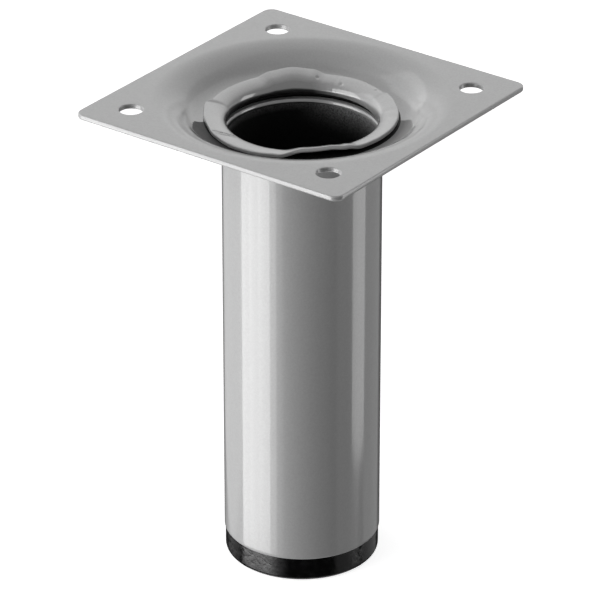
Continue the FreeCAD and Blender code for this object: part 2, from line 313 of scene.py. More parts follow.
def towards_lit_side(tree, low, high, start, end):
    """Painted light: a value that grows towards the lit side, from one distance along it to another."""
    place = tree.nodes.new("ShaderNodeTexCoord")
    facing = tree.nodes.new("ShaderNodeVectorMath")
    facing.operation = "DOT_PRODUCT"
    facing.inputs[1].default_value = (math.cos(LIT_SIDE), math.sin(LIT_SIDE), 0.0)
    tree.links.new(place.outputs["Object"], facing.inputs[0])
    return to_range(tree, facing.outputs["Value"], low, high, start, end)


def calculate(tree, operation, first, second):
    """A Math node that works on two values, of which the second may be a plain number."""
    node = tree.nodes.new("ShaderNodeMath")
    node.operation = operation
    tree.links.new(first, node.inputs[0])
    if isinstance(second, float):
        node.inputs[1].default_value = second
    else:
        tree.links.new(second, node.inputs[1])
    return node.outputs["Value"]


def dimmed(tree, colour, share):
    """A colour multiplied by a share that changes over the surface."""
    node = tree.nodes.new("ShaderNodeVectorMath")
    node.operation = "SCALE"
    tree.links.new(colour, node.inputs[0])
    tree.links.new(share, node.inputs["Scale"])
    return node.outputs["Vector"]


# The main light reaches the side at this direction, and colours are lightened there as painted light
print("the spray reached the side at", round(math.degrees(LIT_SIDE)), "degrees round the leg")

# %% Darken the funnel's coat as painted shade
FUNNEL_SHADE_SHARE = 0.05
FUNNEL_SHADE_SLOPE = 0.66
FUNNEL_COAT_IOR = 1.95
FUNNEL_LIT_SIDE = (9.5 * MM, 14.0 * MM)


def make_shaded_funnel_coat():
    """The silver coat with painted shade where it is steep, and painted light on the lit wall."""
    material = silver_coat.copy()
    material.name = "shaded_funnel_coat"
    tree = material.node_tree
    shader = next(node for node in tree.nodes if node.type == "BSDF_PRINCIPLED")
    shader.inputs["Coat IOR"].default_value = FUNNEL_COAT_IOR
    grey = shader.inputs["Base Color"].links[0].from_socket
    # Painted shade on steep faces, and painted light towards the wall that the main light reaches
    level = to_range(tree, upward(tree, "Normal"), FUNNEL_SHADE_SHARE, 1.0, FUNNEL_SHADE_SLOPE, 1.0)
    share = calculate(tree, "MAXIMUM", level, towards_lit_side(tree, 0.0, 1.0, *FUNNEL_LIT_SIDE))
    tree.links.new(dimmed(tree, grey, share), shader.inputs["Base Color"])
    return material


shaded_funnel_coat = make_shaded_funnel_coat()
print("a steep face keeps", FUNNEL_SHADE_SHARE, "of the coat's grey")

# %% [markdown]
# The dish also gets a patch of painted shade: in front, beside the lip, its floor and the foot of its
# slope lie in the shadow of the lip and of the dish's rim. The patch is a matt grey without a coat, and
# it is darkest on the side away from the main light. It could be blended in softly, but its border is
# sharp, so it is a material of its own on the faces inside that border.

# %% Mix the painted shade beside the lip
LIP_SHADE_LOW = 0.17
LIP_SHADE_HIGH = 1.10
LIP_SHADE_LIT_SIDE = (-18.0 * MM, 14.0 * MM)
LIP_SHADE_ROUGHNESS = (0.45, 0.60)
LIP_SHADE_DEPTH = 4.0 * PEEL_DEPTH


def make_lip_shade_coat():
    """Matt, speckled grey without a coat: painted shade, darker away from the main light."""
    material, tree, shader = new_material("lip_shade_coat")
    speckle = noise_at(tree, SPECKLE_SIZE, detail=3.0)
    grey = between(tree, speckle, COAT_DARK, COAT_LIGHT)
    # Painted shade, darker away from the side that the main light reaches
    share = towards_lit_side(tree, LIP_SHADE_LOW, LIP_SHADE_HIGH, *LIP_SHADE_LIT_SIDE)
    tree.links.new(dimmed(tree, grey, share), shader.inputs["Base Color"])
    tree.links.new(to_range(tree, speckle, *LIP_SHADE_ROUGHNESS), shader.inputs["Roughness"])
    tree.links.new(bump(tree, speckle, LIP_SHADE_DEPTH), shader.inputs["Normal"])
    shader.inputs["Specular IOR Level"].default_value = 0.25
    return material


lip_shade_coat = make_lip_shade_coat()
print("mixed", lip_shade_coat.name, "with", len(lip_shade_coat.node_tree.nodes), "nodes")

# %% [markdown]
# ## The dark bore
#
# The bore's colour is nearly black, throwing back almost no light: partly the bare steel's own dark
# mill scale, and partly painted shade, as the bore lies deep in shade. Below the lip a grainy grey of
# painted light fades out within a few millimetres, slowest on the side that the main light reaches.
# Plain black would do from afar, but the fading grey is what makes the bore look deep. So the bore's
# faces get a second material. Height and side together decide how much grey lies on the black, some
# lies along the bore's upper edge all round, and noise breaks the grey up into grains. The groove
# above the bore is kept black as painted shade. All heights are told from the underside of the plate's
# dish.

# %% Name the bore's colours and the heights of its painted light
plate_low, plate_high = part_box("mounting_plate")
BORE_BLACK = (0.003, 0.003, 0.003)
BORE_LIT_GREY = (0.26, 0.26, 0.262)
BORE_ROUGHNESS = (0.45, 0.65)
BORE_LIGHT_LOW_Z = plate_low.z - 8.95 * MM
EDGE_LOW_Z = plate_low.z - 3.95 * MM
BORE_LIGHT_HIGH_Z = plate_low.z - 2.05 * MM
GROOVE_DARK_Z = plate_low.z - 1.55 * MM
BORE_LIGHT_FALL = 2.2
EDGE_LIGHT_SHARE = 0.50
BORE_UNLIT_SHARE = 0.02
BORE_LIT_SIDE = (7.5 * MM, 13.5 * MM)
GRIT_SIZE = 0.30 * MM
GRIT_DEPTH = 0.07 * MM
GRIT_RANGE = (0.35, 1.5)
# Painted light: the bore's grey lies between these heights
print("the dust lies from", round(BORE_LIGHT_LOW_Z / MM, 2), "to", round(BORE_LIGHT_HIGH_Z / MM, 2), "mm")

# %% Mix the bore's finish
def make_dark_bore():
    """Near-black steel and painted shade, with a grainy grey of painted light fading downwards."""
    material, tree, shader = new_material("dark_bore")
    z = upward(tree, "Object")
    height = to_range(tree, z, 0.0, 1.0, BORE_LIGHT_LOW_Z, BORE_LIGHT_HIGH_Z)
    edge = to_range(tree, z, 0.0, EDGE_LIGHT_SHARE, EDGE_LOW_Z, BORE_LIGHT_HIGH_Z)
    below_groove = to_range(tree, z, 1.0, 0.0, BORE_LIGHT_HIGH_Z, GROOVE_DARK_Z)
    side = towards_lit_side(tree, BORE_UNLIT_SHARE, 1.0, *BORE_LIT_SIDE)
    grit = noise_at(tree, GRIT_SIZE, detail=3.0)
    # Painted light: grey that fades downwards, strongest on the lit side and along the upper edge
    lit_side_share = calculate(tree, "MULTIPLY", calculate(tree, "POWER", height, BORE_LIGHT_FALL), side)
    painted_light = calculate(tree, "MAXIMUM", lit_side_share, edge)
    for value in (below_groove, to_range(tree, grit, *GRIT_RANGE)):
        painted_light = calculate(tree, "MULTIPLY", painted_light, value)
    grey = between(tree, painted_light, BORE_BLACK, BORE_LIT_GREY, 0.0, 1.0)
    tree.links.new(grey, shader.inputs["Base Color"])
    tree.links.new(to_range(tree, grit, *BORE_ROUGHNESS), shader.inputs["Roughness"])
    tree.links.new(bump(tree, grit, GRIT_DEPTH), shader.inputs["Normal"])
    shader.inputs["Specular IOR Level"].default_value = 0.15
    return material


dark_bore = make_dark_bore()
print("mixed", dark_bore.name, "with", len(dark_bore.node_tree.nodes), "nodes")

# %% [markdown]
# ## Black moulded plastic
#
# The cap is injection-moulded. Its rim is nearly black with a soft sheen, and the sheen is slightly
# mottled where the mould was worn and where the leg has been handled. A picture of a worn surface
# could be laid over it, but noise does it from any side with no seam. One noise moves the roughness
# and waves the surface a little for the mottling, and a finer one adds the grain, a few thousandths
# of a millimetre high.

# %% Mix the black plastic
PLASTIC_DARK = (0.0012, 0.0012, 0.0013)
PLASTIC_LIGHT = (0.0030, 0.0030, 0.0032)
PLASTIC_ROUGHNESS = (0.08, 0.26)
MOTTLE_SIZE = 1.1 * MM
MOTTLE_DEPTH = 0.03 * MM
GRAIN_SIZE = 0.25 * MM
GRAIN_DEPTH = 0.005 * MM


def make_black_plastic():
    """Near-black plastic with a mottled satin sheen and a fine moulded grain."""
    material, tree, shader = new_material("black_plastic")
    mottle = noise_at(tree, MOTTLE_SIZE, detail=4.0)
    tree.links.new(between(tree, mottle, PLASTIC_DARK, PLASTIC_LIGHT), shader.inputs["Base Color"])
    tree.links.new(to_range(tree, mottle, *PLASTIC_ROUGHNESS), shader.inputs["Roughness"])
    grain = noise_at(tree, GRAIN_SIZE, detail=3.0)
    skin = bump(tree, grain, GRAIN_DEPTH, under=bump(tree, mottle, MOTTLE_DEPTH))
    tree.links.new(skin, shader.inputs["Normal"])
    shader.inputs["Specular IOR Level"].default_value = 0.55
    return material


black_plastic = make_black_plastic()
print("mixed", black_plastic.name, "with", len(black_plastic.node_tree.nodes), "nodes")

# %% [markdown]
# ## The mounting plate
#
# The plate starts as a flat square of sheet steel. A press pushes its middle down into a round dish,
# so that the tube's lip ends below the face that lies against the furniture. Four screw holes are
# punched near the corners, and a large hole in the dish takes the tube.
#
# The dish's slope is two arcs that meet smoothly: the upper one turns down from the flat face, and
# the lower one turns level again. The same two centres give the underside, with one radius smaller
# and the other larger by the sheet's thickness, which is what really happens to a bent sheet.
#
# Boolean cuts could punch the holes into a square box, but they leave ragged faces where a rounding
# should start. So every edge here is made of rings, and the flat faces are filled with triangles
# between the rings. Light would show such triangles if their corners took part in a bend, so each
# rounding starts with a narrow flat strip.

# %% Take the plate's sizes from its box and name the rest
PLATE_HALF = plate_high.x
PLATE_TOP = plate_high.z
SHEET = 1.0 * MM
CORNER_R = 2.0 * MM
EDGE_ROUND = 0.25 * MM
FLAT_STRIP = 0.12 * MM
SCREW_R = 2.25 * MM
SCREW_INSET = 7.5 * MM
SCREW_AT = PLATE_HALF - SCREW_INSET
SCREW_ROUND = 0.2 * MM
DISH_BORDER = 2.0 * MM
DISH_MOUTH = PLATE_HALF - DISH_BORDER
DISH_FLOOR_Z = plate_low.z + SHEET
DISH_FLOOR_R = 18.6 * MM
DISH_DEPTH = PLATE_TOP - DISH_FLOOR_Z
CREST_SHARE = 0.68
NECK_HOLE_R = 15.05 * MM
NECK_HOLE_ROUND = 0.6 * MM
print("the dish is", round(DISH_DEPTH / MM, 2), "mm deep")

# %% Work out the dish's profile
DISH_SLOPE = 2.0 * math.atan(DISH_DEPTH / (DISH_MOUTH - DISH_FLOOR_R))
DISH_ARCS = (DISH_MOUTH - DISH_FLOOR_R) / math.sin(DISH_SLOPE)
CREST_R = DISH_ARCS * CREST_SHARE
FOOT_R = DISH_ARCS - CREST_R
CREST_STEPS = 30
FOOT_STEPS = 16
# Inside this radius the dish's floor under the lip gets the dark finish: bare steel and painted shade
BARE_SHADED_R = 18.3 * MM


def dish_skin(thickness):
    """One skin of the dish from its mouth to the edge of its floor, that far below the upper skin."""
    steep = math.degrees(DISH_SLOPE)
    crest_centre = (DISH_MOUTH, PLATE_TOP - CREST_R)
    foot_centre = (DISH_FLOOR_R, DISH_FLOOR_Z + FOOT_R)
    crest = arc(crest_centre, CREST_R - thickness, 90.0, 90.0 + steep, CREST_STEPS)
    foot = arc(foot_centre, FOOT_R + thickness, -90.0 + steep, -90.0, FOOT_STEPS)
    return [(DISH_MOUTH + FLAT_STRIP, PLATE_TOP - thickness)] + crest + foot[1:]


def dish_profile():
    """Upper skin, rounded hole and lower skin, as one run of (radius, height) points."""
    rim = NECK_HOLE_R + NECK_HOLE_ROUND
    floor_edge = DISH_FLOOR_R - FLAT_STRIP
    floor = [(r, DISH_FLOOR_Z) for r in (floor_edge, BARE_SHADED_R, rim + FLAT_STRIP)]
    hole_edge = arc((rim, DISH_FLOOR_Z - NECK_HOLE_ROUND), NECK_HOLE_ROUND, 90.0, 180.0, steps=8)
    under = [(r, DISH_FLOOR_Z - SHEET) for r in (NECK_HOLE_R, NECK_HOLE_R + FLAT_STRIP, floor_edge)]
    return dish_skin(0.0) + floor + hole_edge + under + dish_skin(SHEET)[::-1]


print("the slope is", round(math.degrees(DISH_SLOPE), 1), "degrees steep,", len(dish_profile()), "points")

# %% [markdown]
# The outer edge and the four holes share one idea: a wall that goes down through the sheet with a
# small rounding at its top and bottom, as a punch leaves it. A Bevel modifier could round them, but
# it would also touch the rings of the dish. So the wall is a list of insets and heights. An inset
# makes the square outline smaller, and the same inset makes a hole wider.

# %% Draw the walls of the outline and the holes
CORNER_STEPS = 20
HOLE_POINTS = 72
DISH_POINTS = 288


def sheet_wall(rounding, steps=5):
    """Insets and heights down through the sheet, with both edges rounded."""
    down = [(rounding + FLAT_STRIP, PLATE_TOP)]
    for step in range(steps + 1):
        turn = math.radians(90.0 * step / steps)
        down.append((rounding * (1.0 - math.sin(turn)), PLATE_TOP - rounding * (1.0 - math.cos(turn))))
    middle = PLATE_TOP - SHEET / 2.0
    return down + [(inset, 2.0 * middle - height) for inset, height in reversed(down)]


def square_ring(inset, height):
    """A level ring along the plate's outline with its rounded corners, moved inwards by an inset."""
    ring = []
    for quarter in range(4):
        middle = math.radians(45.0 + 90.0 * quarter)
        reach = (PLATE_HALF - CORNER_R) * math.sqrt(2.0)
        centre = (reach * math.cos(middle), reach * math.sin(middle))
        for step in range(CORNER_STEPS + 1):
            turn = math.radians(90.0 * quarter + 90.0 * step / CORNER_STEPS)
            out = CORNER_R - inset
            ring.append(Vector((centre[0] + out * math.cos(turn), centre[1] + out * math.sin(turn), height)))
    return ring


print("the outline has", len(square_ring(0.0, PLATE_TOP)), "points")

# %% Mark out the patch of painted shade
LIP_SHADE_R = 20.1 * MM
LIP_SHADE_SPREAD = 1.0 * MM
# Direction of the patch's middle, its half width and the taper at its ends, all in degrees
LIP_SHADE_MIDDLE = 307.5
LIP_SHADE_HALF = 86.0
LIP_SHADE_TAPER = 12.0


def apart(first, second):
    """How far two directions lie apart, in degrees, with its sign."""
    return (first - second + 180.0) % 360.0 - 180.0


def in_lip_shade(x, y):
    """Whether a point lies in the patch of painted shade beside the lip, which narrows at its ends."""
    off = abs(apart(math.degrees(math.atan2(y, x)), LIP_SHADE_MIDDLE))
    spread = LIP_SHADE_SPREAD * min(1.0, (LIP_SHADE_HALF - off) / LIP_SHADE_TAPER)
    return off < LIP_SHADE_HALF and math.hypot(x, y) < LIP_SHADE_R + spread


print("the patch is", 2.0 * LIP_SHADE_HALF, "degrees long")

# %% Build the plate
# Places of the plate's finishes in its list of materials
# The ring under the lip is bare steel and painted shade
BARE_AND_SHADED, LIP_SHADE = 1, 2


def make_mounting_plate():
    """The plate: rings for everything bent, and flat fills between them."""
    bm = bmesh.new()
    bands = [add_rings(bm, [square_ring(inset, height) for inset, height in sheet_wall(EDGE_ROUND)])]
    for side_x in (-1.0, 1.0):
        for side_y in (-1.0, 1.0):
            centre = (side_x * SCREW_AT, side_y * SCREW_AT)
            wall = sheet_wall(SCREW_ROUND)
            rings = [circle(centre, SCREW_R + inset, height, HOLE_POINTS) for inset, height in wall]
            bands.append(add_rings(bm, rings))
    bands.append(add_rings(bm, [circle((0.0, 0.0), r, z, DISH_POINTS) for r, z in dish_profile()]))
    fill_between(bm, [band[0] for band in bands])
    fill_between(bm, [band[-1] for band in bands])
    # Faces under the lip get the dark finish, and faces in the patch beside it get the painted shade
    for face in bm.faces:
        middle = face.calc_center_median()
        upper = middle.z > DISH_FLOOR_Z - SHEET / 2.0
        if upper and middle.xy.length < BARE_SHADED_R:
            face.material_index = BARE_AND_SHADED
        elif upper and in_lip_shade(middle.x, middle.y):
            face.material_index = LIP_SHADE
    finishes = [silver_coat, dark_bore, lip_shade_coat]
    finish_piece("pressed_plate", bm, finishes, "mounting_plate")


make_mounting_plate()

# %% [markdown]
# ## The tube and its rolled lip
#
# The tube passes through the plate's hole. Below the plate its wall is folded out into a bead, and
# above the plate its end is rolled outwards into a lip, so the plate is gripped between the two and
# nothing has to be welded. Inside, the bead's fold shows as a narrow black groove.
#
# A hand-fed rolling machine doesn't press the lip down evenly. At the back one stretch stands up like
# a low wave, in front a stretch is pinched up, on the left the lip is squeezed flat behind an abrupt
# step, and between them it keeps a rounder, funnel-like bend. Sculpting could push such waves into an
# even lip, but the wall would lose its true thickness. So the tube's section is a function of the
# direction round the axis. A table gives the lip's bend, length and tightness at some directions, and
# the values in between follow a smooth step. Every section has equally many points, which makes the
# whole tube one closed net of quads.

# %% Read the tube's sizes from the model and name the rest
tube_low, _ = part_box("leg_tube")
TUBE_R = 15.0 * MM
WALL = 1.0 * MM
BORE_R = TUBE_R - WALL
TUBE_END_Z = tube_low.z
END_ROUND = 0.2 * MM
FIT_GAP = 0.05 * MM
BEAD_R = 0.95 * MM
BEAD_FILLET = 0.3 * MM
BEAD_Z = plate_low.z - FIT_GAP - BEAD_R
GROOVE_Z = BEAD_Z
GROOVE_R = 0.42 * MM
GROOVE_ROUND_TOP = 0.38 * MM
GROOVE_ROUND_LOW = 0.95 * MM
LIP_WALL = 0.8 * MM
LIP_BEND = 0.5 * MM
LIP_EDGE_ROUND = 0.22 * MM
LIP_BEND_Z = DISH_FLOOR_Z + FIT_GAP - LIP_BEND
GROOVE_TOP = GROOVE_Z + GROOVE_R + GROOVE_ROUND_TOP
print("the bead's middle is at", round(BEAD_Z / MM, 2), "mm")

# %% Shape the lip in each direction
BACK_WAVE = 133.0
FRONT_PINCH = 324.0
# Direction in degrees, how far the lip is bent over in degrees, its length beyond the bend in mm,
# and how tightly its skin turns down into the bore: 0.5 is a round funnel, 1 is a sharp corner
LIP_SHAPES = (
    # The right side and its step, then the funnel-like stretch up to the wave
    (0.0, 80.0, 2.50, 0.80), (20.0, 81.0, 2.55, 0.80), (45.0, 81.0, 2.65, 0.74),
    (64.5, 82.0, 2.90, 0.64), (67.0, 80.0, 2.45, 0.57), (90.0, 80.0, 2.75, 0.52),
    (111.0, 80.0, 2.55, 0.51),
    # The wave at the back, and the funnel-like stretch beyond it
    (120.0, 66.0, 3.20, 0.49), (BACK_WAVE, 59.5, 3.50, 0.48), (146.0, 66.0, 3.20, 0.49),
    (156.0, 80.0, 2.60, 0.50), (175.0, 80.0, 2.50, 0.50), (197.0, 80.0, 2.55, 0.56),
    # The abrupt step, and the flat stretch on the left
    (200.0, 88.0, 3.35, 0.76), (214.0, 88.0, 2.90, 0.80), (230.0, 88.0, 2.60, 0.85),
    (245.0, 88.0, 2.90, 0.85), (262.0, 88.0, 3.15, 0.80), (278.0, 88.0, 3.05, 0.76),
    # The pinched stretch in front, and back to the start
    (292.0, 86.0, 2.75, 0.74), (308.0, 58.0, 2.50, 0.74), (FRONT_PINCH, 54.0, 2.40, 0.74),
    (335.0, 66.0, 2.45, 0.74), (344.0, 79.0, 2.45, 0.76), (360.0, 80.0, 2.50, 0.80),
)


def lip_shape(direction):
    """The lip's bend in degrees, its length beyond the bend and the tightness of its skin's bend."""
    for before, after in zip(LIP_SHAPES, LIP_SHAPES[1:]):
        if before[0] <= direction <= after[0]:
            share = (direction - before[0]) / (after[0] - before[0])
            share = share * share * (3.0 - 2.0 * share)
            bent, length, tight = [a + (b - a) * share for a, b in zip(before[1:], after[1:])]
            return bent, length * MM, tight


for place, direction in (("at the back", BACK_WAVE), ("in front", FRONT_PINCH)):
    print("the lip is bent by", lip_shape(direction)[0], "degrees", place)

# %% [markdown]
# The rolls also leave marks: three small pits in the funnel, two thin wrinkles across the flat stretch
# on the left, and short ripples where the bend changes. Bump in the paint could fake them, but it
# would vanish where the lip is seen edge on. So each mark is a real hollow that lowers the lip's upper
# skin a little. A pit is bell-shaped, and a wrinkle is the same bell drawn along a line.

# %% Press the marks into the lip
# Direction in degrees, distance from the axis, depth and size in mm
PITS = ((116.0, 15.9, 0.24, 0.26), (98.0, 15.45, 0.30, 0.26), (72.0, 17.0, 0.18, 0.24))
# The two ends of a line as direction and distance, then depth and size in mm
WRINKLES = (((237.0, 18.6), (250.0, 15.6), 0.24, 0.12), ((241.5, 18.6), (254.0, 15.6), 0.20, 0.11))
# How far a wrinkle fades out beyond its ends, as a share of its length
WRINKLE_PAST_END = 0.1
# Middle of a rippled stretch, its half width, the ripples' spacing, all in degrees, and depth in mm
RIPPLES = ((36.0, 20.0, 11.0, 0.05), (101.0, 10.0, 4.0, 0.03))


def marks(direction, radius):
    """How deep the marks press the lip's upper skin at a direction and a distance from the axis."""
    r = radius / MM
    deep = 0.0
    for at, distance, depth, size in PITS:
        away = math.hypot(r - distance, math.radians(apart(direction, at)) * distance)
        deep += depth * math.exp(-((away / size) ** 2))
    for (first, outer), (last, inner), depth, size in WRINKLES:
        share = (outer - r) / (outer - inner)
        if -WRINKLE_PAST_END < share < 1.0 + WRINKLE_PAST_END:
            away = math.radians(apart(direction, first + (last - first) * share)) * r
            deep += depth * math.exp(-((away / size) ** 2))
    for at, half, spacing, depth in RIPPLES:
        away = apart(direction, at)
        if abs(away) < half:
            fade = math.cos(math.pi * away / (2.0 * half)) ** 2
            deep += depth * fade * (0.5 - 0.5 * math.cos(2.0 * math.pi * away / spacing))
    return deep * MM


for at, distance, depth, size in PITS:
    print("the pit at", at, "degrees presses", round(marks(at, distance * MM) / MM, 2), "mm into the lip")

# %% Draw the outside of the tube
# Shares of a straight wall's length at which it gets a ring, close to its ends and far between
WALL_RINGS = (0.005, 0.1, 0.3, 0.5, 0.7, 0.9, 0.99)


def tube_outside():
    """The outside from the tube's end to the bead's top, and the neck through the plate."""
    fillet_drop = math.sqrt((BEAD_R + BEAD_FILLET) ** 2 - BEAD_FILLET**2)
    bead_start = math.degrees(math.asin(fillet_drop / (BEAD_R + BEAD_FILLET)))
    end_centre = (TUBE_R - END_ROUND, TUBE_END_Z + END_ROUND)
    outside = arc(end_centre, END_ROUND, -90.0, 0.0, steps=4)
    wall_low, wall_high = TUBE_END_Z + END_ROUND, BEAD_Z - fillet_drop
    outside += [(TUBE_R, wall_low + (wall_high - wall_low) * share) for share in WALL_RINGS]
    fillet_centre = (TUBE_R + BEAD_FILLET, wall_high)
    outside += arc(fillet_centre, BEAD_FILLET, 180.0, 180.0 - bead_start, steps=5)
    outside += arc((TUBE_R, BEAD_Z), BEAD_R, -bead_start, 90.0, steps=14)[1:]
    return outside + [(TUBE_R, BEAD_Z + BEAD_R + FIT_GAP)]


OUTSIDE = tube_outside()
print("the outside has", len(OUTSIDE), "points")

# %% [markdown]
# The lip's section has an underside, a cut edge and an upper skin. The skin could be another arc, but
# the real one starts almost level, turns down near the bore and ends upright, more sharply in some
# directions than in others. A curve with two aims can do that: it leaves the edge towards the first
# aim and arrives at the groove from the second. Both aims lie on the way to the corner that a folded
# lip would have.

# %% Draw the lip's section
SKIN_STEPS = 30
# Shares of the underside's length beyond the bend at which it gets a ring
UNDER_RINGS = (0.02, 0.5, 0.98)
# Share of the lip's tilt that is left where its upper skin starts
LEVEL_RIM = 0.35
# How far the first aim falls short of the table's tightness, and where the second aim lies
FIRST_AIM_SHORT = 0.08
SECOND_AIM = 0.82


def curve(start, start_aim, end_aim, end, steps):
    """Points of a smooth curve that leaves and arrives in the direction of its two aims."""
    points = []
    for step in range(steps + 1):
        t = step / steps
        near = start * (1.0 - t) ** 3 + start_aim * 3.0 * t * (1.0 - t) ** 2
        points.append(near + end_aim * 3.0 * t * t * (1.0 - t) + end * t**3)
    return points


def tube_lip(direction):
    """The lip's section in three parts: its underside, its cut edge, and its skin down to the groove."""
    bent, length, tight = lip_shape(direction)
    along = Vector((math.sin(math.radians(bent)), math.cos(math.radians(bent))))
    across = Vector((-along.y, along.x))
    reach = LIP_BEND * math.tan(math.radians(bent) / 2.0)
    under_end = Vector((TUBE_R, LIP_BEND_Z + reach)) + along * (reach + length - LIP_EDGE_ROUND)
    under = arc((TUBE_R + LIP_BEND, LIP_BEND_Z), LIP_BEND, 180.0, 180.0 - bent, steps=7)
    under += [Vector(under[-1]).lerp(under_end, share) for share in UNDER_RINGS]
    tilt = 90.0 - bent
    level_tilt = tilt * LEVEL_RIM
    edge_low = under_end + across * LIP_EDGE_ROUND
    edge_high = under_end + across * (LIP_WALL - LIP_EDGE_ROUND)
    edge = arc(edge_low, LIP_EDGE_ROUND, -90.0 + tilt, tilt, steps=4)
    edge += arc(edge_high, LIP_EDGE_ROUND, tilt, 90.0 + level_tilt, steps=6)
    start, end = Vector(edge[-1]), Vector((BORE_R, GROOVE_TOP))
    corner = Vector((BORE_R, start.y - (start.x - BORE_R) * math.tan(math.radians(level_tilt))))
    first_aim = start.lerp(corner, tight - FIRST_AIM_SHORT)
    skin = curve(start, first_aim, end.lerp(corner, SECOND_AIM), end, SKIN_STEPS)
    over = [(r, z - marks(direction, r)) for r, z in skin[1:]]
    return under, edge, over


UNDER, EDGE, OVER = tube_lip(0.0)
print("the lip has", len(UNDER), "points below,", len(EDGE), "on its edge and", len(OVER), "above")

# %% Draw the inside of the tube
def tube_inside():
    """The inside: the groove that the bead's fold leaves, its rounded shoulder, and the bore."""
    top_centre = (BORE_R + GROOVE_ROUND_TOP, GROOVE_TOP)
    low_centre = (BORE_R + GROOVE_ROUND_LOW, GROOVE_Z - GROOVE_R - GROOVE_ROUND_LOW)
    groove = arc(top_centre, GROOVE_ROUND_TOP, 195.0, 270.0, steps=5)
    groove += arc((TUBE_R, GROOVE_Z), GROOVE_R, 90.0, -90.0, steps=6)
    shoulder = arc(low_centre, GROOVE_ROUND_LOW, 90.0, 180.0, steps=9)
    drop = TUBE_END_Z - low_centre[1]
    bore = [(BORE_R, low_centre[1] + drop * share) for share in WALL_RINGS]
    return groove, shoulder, bore


GROOVE, SHOULDER, BORE = tube_inside()
SECTION_POINTS = sum(len(part) for part in (OUTSIDE, UNDER, EDGE, OVER, GROOVE, SHOULDER, BORE))
print("a section has", SECTION_POINTS, "points")

# %% Build the tube
TUBE_COLUMNS = 720
# Places of the tube's finishes in its list of materials
COAT, DARK, SHADED_FUNNEL = 0, 1, 2


def make_rolled_tube():
    """The whole tube, as sections set round the axis and joined into one closed net."""
    bm = bmesh.new()
    rings = []
    for column in range(TUBE_COLUMNS):
        direction = 360.0 * column / TUBE_COLUMNS
        turn = math.radians(direction)
        under, edge, over = tube_lip(direction)
        section = OUTSIDE + under + edge + over + GROOVE + SHOULDER + BORE
        rings.append([Vector((r * math.cos(turn), r * math.sin(turn), z)) for r, z in section])
    add_rings(bm, rings, closed=True)
    # The lip's underside, the groove and the bore get the dark finish: bare steel and painted shade
    finish_of = [COAT] * (len(OUTSIDE) - 1) + [DARK] * len(UNDER) + [COAT] * len(EDGE)
    finish_of += [SHADED_FUNNEL] * (len(OVER) + 1) + [DARK] * (len(GROOVE) - 1)
    finish_of += [SHADED_FUNNEL] * len(SHOULDER) + [DARK] * (len(BORE) + 1)
    bm.faces.index_update()
    for face in bm.faces:
        face.material_index = finish_of[face.index % SECTION_POINTS]
    finishes = [silver_coat, dark_bore, shaded_funnel_coat]
    finish_piece("rolled_tube", bm, finishes, "leg_tube")


make_rolled_tube()

# %% [markdown]
# ## The foot cap
#
# Only the cap's rim shows, with a rounded bottom edge that slides over carpet. Its hollow plug sits
# inside the tube, and eight ribs on the plug grip the bore. The ribs could be boxes set against the
# plug, but moulded ribs grow out of it. So they are part of the same rings: in the directions of a rib
# the section is wider, and two columns close together make its flank.

# %% Read the cap's sizes from the model and name the rest
_, cap_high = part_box("foot_cap")
CAP_R = cap_high.x
RIM_Z = tube_low.z
CAP_ROUND = 0.7 * MM
CAP_FLOOR = 2.0 * MM
CAP_MIDDLE_R = 1.0 * MM
PLUG_PLAY = 0.8 * MM
PLUG_WALL = 1.5 * MM
PLUG_R = BORE_R - PLUG_PLAY
PLUG_INNER_R = PLUG_R - PLUG_WALL
PLUG_TAPER = 0.6 * MM
RIB_R = BORE_R - FIT_GAP
RIB_HALF = 0.6 * MM
RIB_COUNT = 8
RIB_TOP_Z = cap_high.z - 2.0 * PLUG_TAPER
print("the cap's rim is", round(CAP_R / MM, 2), "mm in radius")

# %% Draw the cap's section and its directions
CAP_COLUMNS = 240
# Width of a rib's flank, in degrees
FLANK = 0.02


def cap_section(plug_r):
    """The cap's section from the middle of its underside to the middle of its hollow."""
    section = [(CAP_MIDDLE_R, 0.0), (CAP_R - CAP_ROUND - FLAT_STRIP, 0.0)]
    section += arc((CAP_R - CAP_ROUND, CAP_ROUND), CAP_ROUND, -90.0, 0.0, steps=8)
    section += [(CAP_R, CAP_ROUND + FLAT_STRIP), (CAP_R, RIM_Z - FLAT_STRIP), (CAP_R, RIM_Z)]
    section += [(plug_r, RIM_Z), (plug_r, RIB_TOP_Z), (PLUG_R, RIB_TOP_Z + FLAT_STRIP)]
    section += [(PLUG_R, cap_high.z - PLUG_TAPER), (PLUG_R - PLUG_TAPER, cap_high.z)]
    section += [(PLUG_INNER_R, cap_high.z), (PLUG_INNER_R, CAP_FLOOR), (CAP_MIDDLE_R, CAP_FLOOR)]
    return section


def cap_columns():
    """Directions round the cap, in degrees, each with the plug's radius there."""
    columns = []
    half = math.degrees(math.asin(RIB_HALF / RIB_R))
    plain = CAP_COLUMNS // RIB_COUNT
    width = 360.0 / RIB_COUNT - 2.0 * (half + FLANK)
    for rib in range(RIB_COUNT):
        at = 360.0 * rib / RIB_COUNT
        left, right = at - half, at + half
        columns += [(left - FLANK, PLUG_R), (left, RIB_R), (right, RIB_R), (right + FLANK, PLUG_R)]
        columns += [(right + FLANK + width * step / plain, PLUG_R) for step in range(1, plain)]
    return columns


print("the cap has", len(cap_columns()), "columns of", len(cap_section(PLUG_R)), "points")

